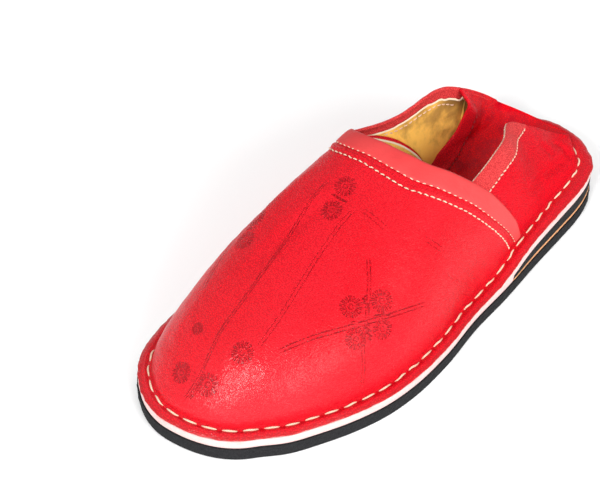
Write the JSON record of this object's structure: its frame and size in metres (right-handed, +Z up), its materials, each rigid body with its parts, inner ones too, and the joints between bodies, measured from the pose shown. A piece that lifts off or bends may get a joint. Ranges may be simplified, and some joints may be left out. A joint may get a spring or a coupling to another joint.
{
  "type": "babouche slipper",
  "caption": "Backless leather slipper for the left foot: domed stitched-down vamp with a banded collar, trodden-down heel panel, layered sole with a low wedge heel",
  "frame": {"origin": "middle of the bounding box, on the floor plane that the sole stands on", "axes": "+Z up, toe towards -Y, heel towards +Y, +X is the outer (little toe) side of the left foot"},
  "size_m": [0.1136, 0.2872, 0.0865],
  "materials": {
    "outsole": "near-black rubber, rough cut edge",
    "heel_layer": "orange-tan leather board",
    "heel_wedge": "near-black rubber, matte",
    "midsole": "off-white rubber, matte",
    "insole": "undyed tan leather",
    "upper": "red leather, satin, tan flesh side",
    "collar_band": "coral red leather, matte"
  },
  "bodies": {
    "root": {"outsole": "outsole", "heel_layer": "heel_layer", "heel_wedge": "heel_wedge", "midsole": "midsole", "insole": "insole", "upper": "upper", "collar_band": "collar_band"}
  },
  "joints": []
}
